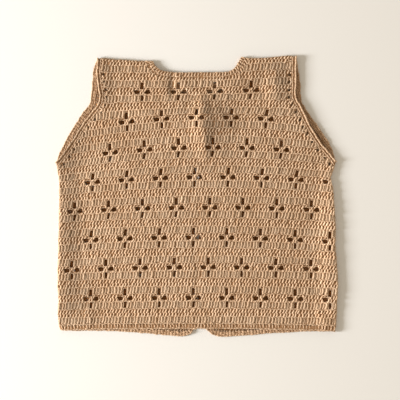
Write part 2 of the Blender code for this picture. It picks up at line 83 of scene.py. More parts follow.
FlowerRow = namedtuple("FlowerRow", "x_zero stitch y_left y_middle y_right first count")
FLOWER_ROWS = (
    FlowerRow(-186.0, 5.454, -182.1, -178.8, -182.5, 0, 8),
    FlowerRow(-187.2, 5.461, -131.6, -124.9, -129.7, -6, 8),
    FlowerRow(-186.2, 5.449, -80.9, -72.8, -81.0, 0, 8),
    FlowerRow(-181.4, 5.392, -28.5, -20.4, -25.8, -6, 8),
    FlowerRow(-183.6, 5.424, 18.3, 32.9, 23.8, 0, 8),
    FlowerRow(-178.9, 5.466, 64.0, 85.1, 72.5, 5, 6),
    FlowerRow(-184.4, 5.548, 111.8, 138.0, 122.3, 11, 5),
    FlowerRow(-189.2, 5.810, 185.0, 183.0, 193.0, 16, 4),
)

# How the stitches are pulled over in the right half
PULL = -2.3
PULL_X = 108.0
PULL_HALF_WIDTH = 125.0
PULL_LAST_ROW = 24
PULL_FADE_ROWS = 12

# The four gaps of a flower: stitches across and rows up from its middle. One that is nearer to
# its panel's outline than HOLE_MARGIN is left out
PETALS = {
    "left": ((-2.6, 0.2), (-2.0, -0.28), (-0.75, -0.2), (-0.7, 0.17), (-1.5, 0.26)),
    "right": ((0.56, -0.1), (1.5, -0.28), (2.6, -0.2), (2.25, 0.34), (1.4, 0.28)),
    "top": ((-0.62, 0.42), (0.42, 0.42), (0.46, 1.28), (-0.4, 1.28)),
    "bottom": ((-0.4, -1.22), (0.28, -1.22), (0.54, -0.46), (-0.3, -0.46)),
}
FRONT_PETALS = ("left", "right")
HOLE_MARGIN = 1.6

# Lines along which the cloth turns over, x then y
SIDE_LINES = {
    "left": (
        (-242.5, -209.7), (-240.5, -181.4), (-242.5, -157.2), (-241.5, -102.7), (-239.5, -6.8),
        (-239.8, 30.0),
    ),
    "right": (
        (242.0, -213.7), (244.8, -153.1), (242.7, -112.9), (239.8, -92.7), (240.8, -52.3),
        (237.8, -6.8), (235.7, 16.2), (231.6, 32.1),
    ),
}
SHOULDER_LINES = {
    "left": ((-145.1, 237.4), (-126.5, 236.6), (-105.0, 234.2)),
    "right": ((155.0, 243.6), (124.7, 240.6), (104.0, 239.6)),
}

# Where each edging turns over: its free edge, then the edge sewn to the body
Fold = namedtuple("Fold", "free sewn")
FOLDS = {
    "left_underarm": Fold((-246.6, 61.0), (-242.9, 48.6)),
    "right_underarm": Fold((242.8, 63.0), (238.2, 50.4)),
    "left_shoulder": Fold((-175.2, 240.0), (-165.6, 239.6)),
    "right_shoulder": Fold((174.6, 243.0), (165.0, 243.9)),
    "left_neck": Fold((-76.6, 235.0), (-90.6, 235.0)),
    "right_neck": Fold((76.4, 242.4), (90.4, 239.6)),
    "left_hem": Fold((-237.8, -235.6), (-240.2, -227.2)),
    "right_hem": Fold((240.4, -238.4), (241.2, -229.8)),
}

# Free edges between those folds
BACK_ARMHOLES = {
    "left": (
        (-175.8, 226.0), (-176.4, 210.0), (-172.6, 188.0), (-171.6, 166.0), (-184.0, 148.0),
        (-199.2, 129.1), (-219.4, 96.8), (-234.0, 76.0),
    ),
    "right": (
        (174.2, 226.0), (174.0, 200.0), (174.2, 173.3), (181.2, 161.2), (201.4, 118.9), (221.6, 88.7),
        (233.6, 75.2),
    ),
}
FRONT_ARMHOLES = {
    "left": (
        (-182.0, 226.0), (-184.1, 203.6), (-187.9, 165.3), (-199.2, 149.1), (-215.3, 124.9),
        (-231.3, 96.8), (-241.8, 77.0),
    ),
    "right": (
        (178.3, 223.8), (182.3, 193.5), (184.4, 165.3), (205.5, 133.0), (225.7, 104.9), (238.0, 83.0),
    ),
}
BACK_NECK = (
    (-72.4, 229.0), (-65.0, 222.4), (-52.0, 219.0), (-33.5, 217.2), (0.0, 217.6), (43.9, 217.8),
    (60.0, 220.8), (68.6, 229.4),
)
FRONT_NECKS = {
    "left": ((-71.0, 221.0), (-58.0, 209.0), (-38.0, 200.5), (-20.0, 195.5), (-6.0, 193.0)),
    "right": ((71.0, 224.0), (59.0, 211.0), (41.0, 202.0), (24.0, 196.5), (9.5, 194.0)),
}
BACK_HEM = (
    (-226.0, -236.2), (-195.0, -234.8), (-154.7, -233.8), (-60.0, -233.2), (40.4, -232.9),
    (140.0, -234.2), (217.6, -236.2),
)
FRONT_HEMS = {
    "left": (
        (-220.0, -236.6), (-185.0, -236.4), (-146.6, -237.2), (-94.3, -241.0), (-58.0, -244.4),
        (-33.7, -245.9),
    ),
    "right": (
        (222.0, -238.0), (189.3, -237.8), (128.9, -241.0), (84.5, -245.0), (58.3, -246.9),
    ),
}
MIDDLE_EDGES = {"left": -6.0, "right": 9.5}
CORNER_RADII = {"left": 16.0, "right": 33.0}
CORNER_STEPS = 5

# How the back lies up off the fronts, as in the part
LOFT_HEIGHT = 1.3
LOFT_HALF_WIDTH = 232.0
LOFT_HALF_LENGTH = 225.0
Crease = namedtuple("Crease", "x y half_length half_width direction height")
CREASES = (
    Crease(12, 120, 78, 17, 94, -0.9),
    Crease(2, -110, 118, 13, 91, -0.7),
    Crease(4, 206, 44, 17, 0, -1.8),
    Crease(-60, 190, 46, 15, 120, 1.0),
    Crease(64, 192, 44, 15, 60, 0.9),
    Crease(219, -219, 34, 14, 110, 1.6),
    Crease(-186, -206, 46, 16, 75, 1.1),
    Crease(-120, 60, 90, 30, 128, 0.7),
    Crease(130, 40, 80, 28, 50, 0.6),
)

# Softer swells and hollows of the yarn over that. The first fills up the part's first trough,
# and the second lies there instead
SWELLS = (
    Crease(12, 120, 78, 17, 94, 0.9),
    Crease(8, 122, 66, 28, 93, 1.2),
    Crease(-240, -60, 190, 44, 90, 1.4),
    Crease(241, -70, 190, 40, 90, 1.5),
    Crease(-170, 190, 60, 30, 90, 0.9),
    Crease(138, 195, 50, 28, 90, 0.8),
    Crease(-42, 197, 26, 10, 85, -1.4),
)

# How far the back's stitches go on past a fold line, in millimetres of cloth, and where its
# shoulders are: above this level and farther out than the neck
WRAP = 7.6
SHOULDER_LEVEL = 150.0
NECK_HALF_WIDTH = 80.0

# Slopes of the swells towards the light and away from it look lighter and darker by this much
SLOPE_STEP = 2.0
SLOPE_SHADE = 5.5
SHADE_RANGE = (0.63, 1.25)

# Broad patches of the cloth that lie a little in the shade or in the light
PATCHES = (
    Crease(42, 132, 62, 48, 95, -0.32),
    Crease(-16, 151, 30, 22, 90, -0.12),
    Crease(12, 105, 18, 9, 90, 0.17),
    Crease(-4, 112, 42, 13, 91, -0.09),
    Crease(50, 80, 36, 28, 90, -0.11),
    Crease(-40, 193, 22, 13, 90, -0.15),
    Crease(36, 162, 20, 16, 90, -0.1),
    Crease(-226, 78, 85, 48, 60, -0.28),
    Crease(-204, -185, 75, 48, 90, -0.2),
    Crease(-158, 236, 40, 28, 0, -0.2),
    Crease(138, 222, 44, 38, 0, -0.2),
    Crease(100, 205, 40, 26, 60, -0.12),
    Crease(-108, 150, 34, 26, 0, 0.14),
    Crease(-34, 98, 50, 26, 110, 0.12),
    Crease(220, -206, 40, 20, 92, 0.42),
    Crease(238, 110, 60, 30, 130, 0.08),
)

# Strands of one stitch: radius, then points as stitches across, rows up and height over the
# middle of the cloth, and the painted light of the strand, by which its colour is lighter over 1
# and darker under 1. The between strand is painted darker for the shade low in the gap, and the
# loops of the hooked row are painted lighter, as lit. Posts lean over their row, and the row
# turned to the other side shows two short leaning loops instead
Strand = namedtuple("Strand", "radius points light", defaults=(1.0,))
POST_ROW = {
    "post": Strand(
        2.0,
        (
            (-0.02, 0.52, -0.5), (-0.07, 0.4, 0.05), (-0.05, 0.2, 0.1), (-0.08, 0.04, 0.1),
            (-0.2, -0.08, 0.1), (-0.33, -0.2, 0.0), (-0.4, -0.32, -0.5),
        ),
        0.96,
    ),
    "between": Strand(
        1.5, ((0.42, 0.5, -0.6), (0.45, 0.2, -0.25), (0.35, -0.1, -0.25), (0.15, -0.35, -0.6)), 0.68
    ),
    "foot": Strand(
        1.1,
        (
            (-0.6, -0.42, 0.35), (-0.3, -0.37, 0.75), (0.0, -0.35, 0.85), (0.3, -0.37, 0.75),
            (0.6, -0.42, 0.35),
        ),
    ),
}
HOOK_ROW = {
    "upper": Strand(
        1.45,
        (
            (0.44, 0.56, -0.2), (0.36, 0.44, 0.6), (0.3, 0.34, 0.8), (0.12, 0.22, 0.65),
            (0.0, 0.12, 0.3), (-0.06, 0.02, -0.4),
        ),
        1.12,
    ),
    "lower": Strand(
        1.5,
        (
            (0.52, 0.06, -0.2), (0.45, -0.04, 0.65), (0.4, -0.16, 0.7), (0.33, -0.28, 0.45),
            (0.2, -0.38, 0.4), (0.06, -0.5, -0.2),
        ),
        1.12,
    ),
    "foot": Strand(
        1.0,
        ((-0.6, -0.45, 0.2), (-0.3, -0.42, 0.6), (0.0, -0.4, 0.75), (0.3, -0.42, 0.6), (0.6, -0.45, 0.2)),
    ),
}

# On the fronts, which lie flat, every height is this share of the back's
FRONT_HEIGHT_SHARE = 0.5

# Strands of one edging stitch: stitches along, share of the width from the sewn edge, height
HEM_STITCH = {
    "edge": Strand(
        1.1,
        ((-0.6, 0.85, 0.0), (-0.3, 0.87, 0.5), (0.0, 0.88, 0.7), (0.3, 0.89, 0.5), (0.6, 0.9, 0.0)),
    ),
    "post": Strand(1.2, ((-0.05, -0.2, -0.3), (0.02, 0.1, 0.4), (0.06, 0.45, 0.45), (0.0, 0.8, -0.2))),
    "foot": Strand(0.8, ((-0.6, -0.12, 0.3), (0.0, -0.1, 0.6), (0.6, -0.12, 0.3))),
}
ARMHOLE_STITCH = {
    "edge": Strand(1.4, ((-0.6, 0.88, 0.8), (-0.2, 0.89, 1.0), (0.2, 0.89, 1.0), (0.6, 0.88, 0.8))),
    "post": Strand(1.0, ((-0.12, 0.8, -0.3), (-0.02, 0.66, 0.1), (0.06, 0.5, -0.3))),
    "band": Strand(1.15, ((-0.6, 0.36, 0.3), (-0.2, 0.39, 0.6), (0.2, 0.37, 0.6), (0.6, 0.35, 0.3))),
    "inner": Strand(1.2, ((0.2, 0.3, -0.2), (0.26, 0.1, 0.4), (0.3, -0.14, 0.2), (0.32, -0.4, -0.3))),
}
FRONT_STITCH = {
    "edge": Strand(1.3, ((-0.6, 0.87, 0.2), (-0.2, 0.89, 0.6), (0.2, 0.89, 0.6), (0.6, 0.87, 0.2))),
    "second": Strand(1.05, ((-0.6, 0.62, -0.1), (0.0, 0.66, 0.4), (0.6, 0.62, -0.1))),
    "band": Strand(1.2, ((-0.6, 0.36, 0.0), (0.0, 0.42, 0.5), (0.6, 0.36, 0.0))),
    "inner": Strand(1.15, ((-0.6, 0.1, -0.2), (0.0, 0.15, 0.4), (0.6, 0.1, -0.2))),
    # The deep strands lie low and are painted darker for the shade there, the deeper ones more so
    "deep": Strand(1.3, ((-0.2, -0.75, -0.4), (-0.1, -0.5, 0.1), (0.1, -0.25, 0.1), (0.15, 0.0, -0.4)), 0.62),
    "deeper": Strand(1.0, ((0.3, -0.75, -0.4), (0.4, -0.5, 0.1), (0.6, -0.25, 0.1), (0.65, 0.0, -0.4)), 0.4),
}
NECK_STITCH = {
    "edge": Strand(
        0.95,
        ((-0.6, 0.9, -0.5), (-0.3, 0.92, 0.0), (0.0, 0.93, 0.1), (0.3, 0.92, 0.0), (0.6, 0.9, -0.5)),
    ),
    "top": Strand(
        1.4,
        (
            (-0.28, 0.48, -0.2), (-0.18, 0.58, 0.5), (0.02, 0.74, 0.6), (0.15, 0.88, 0.1),
            (0.18, 0.92, -0.4),
        ),
    ),
    "band": Strand(
        1.0, ((-0.6, 0.43, 0.2), (-0.3, 0.46, 0.55), (0.0, 0.48, 0.7), (0.3, 0.46, 0.55), (0.6, 0.43, 0.2))
    ),
    "low": Strand(
        1.45,
        ((-0.3, -0.12, -0.2), (-0.2, 0.02, 0.5), (-0.04, 0.14, 0.7), (0.1, 0.28, 0.6), (0.2, 0.4, -0.2)),
    ),
    "foot": Strand(0.9, ((-0.6, -0.06, 0.3), (0.0, -0.04, 0.6), (0.6, -0.06, 0.3))),
}

# Length of one edging stitch, and how near its strands come to a plain end
EDGING_PITCH = 5.45
EDGING_END = 0.6

# Where the armhole edging is sewn on, the yarn pulls apart once a row: corners of such a spot,
# how far in from the seam it lies, from which level to which, and how large it is on each side
SPOT = ((-2.3, -2.8), (2.3, -2.6), (0.4, 3.5))
SPOT_INWARD = 2.7
SPOT_LEVELS = (56.0, 222.0)
SPOT_SIZES = {"left": (0.45, 0.85), "right": (0.8, 1.05)}
SPOT_WANDER = 0.5

# Strands deep in such a spot, painted dark for the shade in it
HOLLOW_STRANDS = (-1.5, 0.0, 1.5)
HOLLOW_POINTS = 3
HOLLOW_SHORTER = 1.4
HOLLOW_RADIUS = 1.05
HOLLOW_HEIGHT = -0.15
HOLLOW_SHADE = 0.12

# The fronts' own stitches end short of their edging's, and their loose middle loops reach
# over their middle edge, above their corner. A gap of theirs within SAME_PLACE of one of the
# back's stays closed
FRONT_SHORT = 3.0
MIDDLE_LOOPS = 8.5
MIDDLE_LOOPS_FROM = -222.0
SAME_PLACE = 6.0

# Past this turn an edging's stitches lie on its inner side, which is what shows of it on a
# front, and they are painted darker for the shadow of the back over them
INNER_FROM = 2.2
FRONT_PAINTED_SHADE = 0.8

# Rim yarn round a petal, and how far it lies outside it
RIM_RADIUS = 0.8
RIM_OUTSIDE = 1.25
RIM_HEIGHT = 0.3

# How far strands keep out of a petal on top of their radius, and how far they reach over a
# panel's edge into its edging
STRAND_CLEAR = 0.35
OVERLAP = 1.4

# Where a strand is cut short its lost sections follow at END_STEP, and it keeps at least
# LEAST_KEPT or is left out, as one shorter than LEAST_LENGTH is. A shorter step than LEAST_STEP
# gives no direction. At its ends a strand has END_TAPER of its radius, and no yarn lies lower
# than LOWEST
END_STEP = 0.06
LEAST_KEPT = 2
LEAST_STEP = 0.02
LEAST_LENGTH = 1.0
END_TAPER = 0.8
LOWEST = 0.05

# What keeps a division by a length or a distance defined, and the digits of a metre to which
# vertices at one place agree
TINY = 1e-9
TINY_AWAY = 1e-6
SAME_DIGITS = 6

# How much a stitch differs from the next one: stitches, stitches over a row, rows,
# millimetres, share of its radius
JITTER_ACROSS = 0.07
JITTER_LEAN = 0.18
JITTER_UP = 0.035
JITTER_HEIGHT = 0.2
JITTER_RADIUS = 0.1

# Sides of a strand, and the rows and columns of stitches, which go on until an outline ends them
BACK_SIDES = 5
FRONT_SIDES = 4
PIECES_OF_BACK = ((-5, 5), (5, 14), (14, 24), (24, 36))
BACK_COLUMNS = np.arange(-13, 90)
FRONT_ROWS = range(-5, 36)
FRONT_COLUMNS = {"left": np.arange(-56, -9), "right": np.arange(76, 124)}

# Each cloth as cut: width, length and area in metres, and what it lies on
SHEETS = {
    "back": ((0.490, 0.470), 0.178, ("front_left_cloth", "front_right_cloth")),
    "front_left": ((0.240, 0.470), 0.088, ("surface",)),
    "front_right": ((0.240, 0.470), 0.088, ("surface",)),
    "armhole_edging_left": ((0.0100, 0.450), 0.0042, ("surface",)),
    "armhole_edging_right": ((0.0100, 0.450), 0.0042, ("surface",)),
    "neck_edging": ((0.0140, 0.400), 0.0055, ("surface",)),
    "hem_edging": ((0.0100, 0.980), 0.0083, ("surface",)),
}

# Colours, linear red green blue
YARN = (0.665, 0.488, 0.342)
YARN_DARK = (0.53, 0.352, 0.22)
# The core is painted darker than the yarn, for the shade deep between the stitches
CORE = (0.33, 0.18, 0.09)
# The fronts' yarn is the same as the back's, painted darker and browner for the shade under the back
UNDER_PAINTED_SHADE = (0.42, 0.185, 0.058)
UNDER_PAINTED_SHADE_DARK = (0.28, 0.115, 0.035)
FLOOR = (0.86, 0.855, 0.84)

# Surfaces: scales of noise are per metre, a bump is its strength and its distance in metres,
# and a ply turns round once in TWIST_LENGTH millimetres
YARN_ROUGHNESS = 0.92
YARN_SPECULAR = 0.0
CLOUD_SCALE = 16.0
CLOUD_DETAIL = 2.0
MOTTLE_SCALE = 330.0
MOTTLE_DETAIL = 3.0
TINT_SHARE = 0.5
TINT_RANGE = (0.75, 1.75)
PLIES = 2
TWIST_LENGTH = 2.6
TWIST_SHARE = 0.5
FIBRE_SCALE = 1600.0
YARN_BUMP = (0.5, 0.0003)
CORE_ROUGHNESS = 1.0
CORE_SPECULAR = 0.1
CORE_SCALE = 500.0
CORE_SPREAD = 0.3
FLOOR_ROUGHNESS = 0.7
FLOOR_SPECULAR = 0.2
FLOOR_SCALE = 300.0
FLOOR_BUMP = (0.04, 0.0002)

# The room is brighter low down than overhead
ROOM = (1.0, 0.87, 0.69)
HORIZON_LIGHT = 1.22
OVERHEAD_LIGHT = 0.2

# Camera and light, in metres
CAMERA_HEIGHT = 1.6
SENSOR = 36.0
VIEW_WIDTH = 0.7025
VIEW_CENTRE = (0.00606, -0.0067)
GARMENT_LEVEL = 0.005
FLOOR_SIZE = 8.0
KEY_PLACE = (-3.0, -0.25, 0.93)
KEY_SIZE = 0.8
KEY_POWER = 196.0
KEY_COLOUR = (1.0, 1.0, 1.0)


def unit(vectors):
    """The vectors at length 1."""
    return vectors / np.maximum(np.linalg.norm(vectors, axis=-1, keepdims=True), TINY)


def smooth_path(points, steps=CURVE_STEPS):
    """A Catmull-Rom curve through the points, with this many stretches between two of them."""
    points = np.array(points, dtype=float)
    last = len(points) - 1
    path = []
    for i in range(last):
        before, start, end, after = (points[k] for k in (max(i - 1, 0), i, i + 1, min(i + 2, last)))
        square = before * 2 - start * 5 + end * 4 - after
        cube = start * 3 - before - end * 3 + after
        for t in np.arange(steps) / steps:
            path.append((start * 2 + (end - before) * t + square * t * t + cube * t**3) / 2)
    path.append(points[-1])
    return np.array(path)


def sideways(path, distance):
    """The path moved to the left of its own direction."""
    ahead = np.vstack((path[1:], path[-1:]))
    behind = np.vstack((path[:1], path[:-1]))
    along = ahead - behind
    along /= np.linalg.norm(along, axis=1, keepdims=True)
    return path + np.stack((-along[:, 1], along[:, 0]), axis=1) * distance


def sewn_side(fold):
    """The body's corner beside an edging's fold, a gap away from its sewn edge."""
    free, sewn = np.array(fold.free), np.array(fold.sewn)
    return sewn + (sewn - free) / np.linalg.norm(sewn - free) * GAP


def relief(x, y):
    """Height of the back's loft, creases and swells over its level."""
    reach = (x / LOFT_HALF_WIDTH) ** 4 + (y / LOFT_HALF_LENGTH) ** 4
    return LOFT_HEIGHT * np.maximum(1.0 - reach, 0.0) + raised_by(CREASES + SWELLS, x, y)


def raised_by(creases, x, y):
    """Height of soft ridges and troughs."""
    total = np.zeros(np.shape(x))
    for crease in creases:
        angle = math.radians(crease.direction)
        dx, dy = x - crease.x, y - crease.y
        along = (dx * math.cos(angle) + dy * math.sin(angle)) / crease.half_length
        across = (dy * math.cos(angle) - dx * math.sin(angle)) / crease.half_width
        reach = np.minimum(np.hypot(along, across), 1.0)
        total = total + crease.height * np.cos(reach * math.pi / 2) ** 2
    return total


def bowed(row, spread):
    """y of a flower row at -1 for the left side to 1 for the right."""
    tilt = (row.y_right - row.y_left) / 2
    bow = (row.y_right + row.y_left) / 2 - row.y_middle
    return row.y_middle + tilt * spread + bow * spread * spread


def stitch_places(column, row):
    """x and y on the back of stitch columns and crochet rows, as arrays."""
    column, row = np.broadcast_arrays(np.asarray(column, float), np.asarray(row, float))
    level = row / ROWS_APART
    below = np.clip(np.floor(level).astype(int), 0, len(FLOWER_ROWS) - 2)
    part = np.clip(level - below, 0.0, 1.0)
    x = np.zeros(column.shape)
    y = np.zeros(column.shape)
    for index in range(len(FLOWER_ROWS) - 1):
        here = below == index
        lower, upper = FLOWER_ROWS[index], FLOWER_ROWS[index + 1]
        share = part[here]
        flat = (lower.x_zero + column[here] * lower.stitch) * (1 - share)
        flat += (upper.x_zero + column[here] * upper.stitch) * share
        reach = np.minimum(np.abs(flat - PULL_X) / PULL_HALF_WIDTH, 1.0)
        fade = np.clip((PULL_LAST_ROW - row[here]) / PULL_FADE_ROWS, 0.0, 1.0)
        flat += PULL * fade * np.cos(reach * math.pi / 2) ** 2
        spread = flat / HALF_SPREAD
        x[here] = flat
        y[here] = bowed(lower, spread) * (1 - share) + bowed(upper, spread) * share
    y += (level - below - part) * ROWS_APART * ROW_HEIGHT
    return x, y


def front_places(side, column, row):
    """The same on the front at this side, where the rows have turned over."""
    turn_x = SIDE_LINES[side][0][0] + SIDES[side] * TURN_OUTER
    flat_x, _ = stitch_places(column, row)
    x = 2 * turn_x - flat_x
    inwards = 1 - np.minimum(np.abs(x / turn_x), 1.0)
    _, edge = stitch_places(SIDE_COLUMNS[side], row)
    return x, edge - FRONT_DROP * inwards


def inside(x, y, outline):
    """Which points are inside a closed outline."""
    found = np.zeros(x.shape, dtype=bool)
    for (ax, ay), (bx, by) in zip(outline, np.roll(outline, -1, axis=0)):
        if ay == by:
            continue
        crosses = (ay > y) != (by > y)
        found ^= crosses & (x < ax + (y - ay) / (by - ay) * (bx - ax))
    return found


def nearest_on(x, y, outline):
    """The nearest points of a closed outline, and how far away they are."""
    best_x, best_y = np.zeros(x.shape), np.zeros(x.shape)
    best = np.full(x.shape, np.inf)
    for (ax, ay), (bx, by) in zip(outline, np.roll(outline, -1, axis=0)):
        sx, sy = bx - ax, by - ay
        long = sx * sx + sy * sy
        if long == 0:
            continue
        t = np.clip(((x - ax) * sx + (y - ay) * sy) / long, 0.0, 1.0)
        px, py = ax + sx * t, ay + sy * t
        away = np.hypot(x - px, y - py)
        closer = away < best
        best_x, best_y = np.where(closer, px, best_x), np.where(closer, py, best_y)
        best = np.where(closer, away, best)
    return best_x, best_y, best


def edging_edges(width, first, points, last=None):
    """Free, sewn and body edge of an edging, from a fold to another one or to its plain end."""
    path = smooth_path([first.free, *points, *([last.free] if last else [])])
    sewn = sideways(path, -width)
    body = sideways(path, -width - math.copysign(GAP, width))
    sewn[0], body[0] = first.sewn, sewn_side(first)
    if last:
        sewn[-1], body[-1] = last.sewn, sewn_side(last)
    return path, sewn, body


def front_neck(width, first, points):
    """A front's neck edging, whose end is cut straight along the front's middle edge."""
    path, sewn, body = edging_edges(width, first, points)
    x, y = path[-1]
    sewn[-1] = (x, y - abs(width))
    body[-1] = (x, y - abs(width) - GAP)
    return path, sewn, body


def rounded_hem(side):
    """A front's hem with the arc that takes it up to the middle edge."""
    points, radius, way = FRONT_HEMS[side], CORNER_RADII[side], SIDES[side]
    x, y = MIDDLE_EDGES[side] + way * radius, points[-1][1] + radius
    arc = []
    for step in range(CORNER_STEPS + 1):
        angle = math.pi / 2 * step / CORNER_STEPS
        arc.append((x - way * radius * math.sin(angle), y - radius * math.cos(angle)))
    return [*points, *arc]


def edges_of_vest():
    """Every edging's free, sewn and body edge by name."""
    necks, hems = (FOLDS["left_neck"], FOLDS["right_neck"]), (FOLDS["left_hem"], FOLDS["right_hem"])
    edges = {
        "back_neck": edging_edges(NECK_EDGING, necks[0], BACK_NECK, necks[1]),
        "back_hem": edging_edges(-HEM_EDGING, hems[0], BACK_HEM, hems[1]),
    }
    for side, way in SIDES.items():
        ends = {name: FOLDS[f"{side}_{name}"] for name in ("shoulder", "underarm", "neck", "hem")}
        for panel, armholes in (("back", BACK_ARMHOLES), ("front", FRONT_ARMHOLES)):
            edges[f"{panel}_arm_{side}"] = edging_edges(
                way * ARMHOLE_EDGING, ends["shoulder"], armholes[side], ends["underarm"]
            )
        edges["front_neck_" + side] = front_neck(-way * NECK_EDGING, ends["neck"], FRONT_NECKS[side])
        edges["front_hem_" + side] = edging_edges(way * HEM_EDGING, ends["hem"], rounded_hem(side))
    return edges


def fold_lines():
    """The body's four fold lines by name, from one edging to the next."""
    lines = {}
    for side in SIDES:
        for name, points, low, high in (
            ("_side", SIDE_LINES, "_hem", "_underarm"),
            ("_shoulder", SHOULDER_LINES, "_shoulder", "_neck"),
        ):
            ends = sewn_side(FOLDS[side + low]), sewn_side(FOLDS[side + high])
            lines[side + name] = np.array([ends[0], *points[side], ends[1]])
    return lines


EDGES = edges_of_vest()
LINES = fold_lines()


def back_outline(past=0.0):
    """The back's outline, with this much cloth past its fold lines spread flat."""
    return np.vstack(
        (
            EDGES["back_hem"][2],
            LINES["right_side"] + (past, 0),
            EDGES["back_arm_right"][2][::-1],
            LINES["right_shoulder"] + (0, past),
            EDGES["back_neck"][2][::-1],
            LINES["left_shoulder"][::-1] + (0, past),
            EDGES["back_arm_left"][2],
            LINES["left_side"][::-1] - (past, 0),
        )
    )


def front_outline(side, loops=0.0):
    """The outline of a front, with the loops over its middle edge."""
    hem, neck = EDGES["front_hem_" + side][2], EDGES["front_neck_" + side][2]
    middle = MIDDLE_EDGES[side]
    over = middle - SIDES[side] * loops
    return np.vstack(
        (
            hem,
            [(middle, hem[-1][1]), (middle, MIDDLE_LOOPS_FROM), (over, MIDDLE_LOOPS_FROM)],
            [(over, neck[-1][1])],
            neck[::-1],
            LINES[side + "_shoulder"][::-1],
            EDGES["front_arm_" + side][2],
            LINES[side + "_side"][::-1],
        )
    )


def turned_over(x, y, out, angle, height):
    """Points at a height over the middle of cloth that has turned over this way, and their ups."""
    out_x, out_y = out
    sine, cosine = np.sin(angle), np.cos(angle)
    radius = MID_RADIUS + height
    raised = relief(x, y) * np.maximum(cosine, 0.0)
    level = TURN_MIDDLE + radius * cosine + raised
    places = np.stack((x + out_x * radius * sine, y + out_y * radius * sine, level), axis=-1)
    return places, np.stack((out_x * sine, out_y * sine, cosine), axis=-1)


def on_back(x, y, height):
    """Points of the back at a height over the middle of its cloth, turned over past its folds."""
    left_x, right_x = (np.interp(y, *LINES[side + "_side"].T[::-1]) for side in SIDES)
    top_left = np.interp(x, *LINES["left_shoulder"].T)
    top_right = np.interp(x, *LINES["right_shoulder"][::-1].T)
    top = np.where(x < 0, top_left, top_right)
    low = y < SHOULDER_LEVEL
    past_left = np.where(low, np.maximum(left_x - x, 0.0), 0.0)
    past_right = np.where(low, np.maximum(x - right_x, 0.0), 0.0)
    past_top = np.where(~low & (np.abs(x) > NECK_HALF_WIDTH), np.maximum(y - top, 0.0), 0.0)
    turn = (past_left + past_right + past_top) / TURN_OUTER
    out_x = np.where(past_left > 0, -1.0, np.where(past_right > 0, 1.0, 0.0))
    out_y = np.where(past_top > 0, 1.0, 0.0)
    return turned_over(x + past_left - past_right, y - past_top, (out_x, out_y), turn, height)


def on_front(x, y, height):
    """Points of a front at a height over the middle of its cloth, which lies flat."""
    places = np.stack((x, y, WALL / 2 + height * FRONT_HEIGHT_SHARE), axis=-1)
    ups = np.zeros(places.shape)
    ups[..., 2] = 1.0
    return places, ups


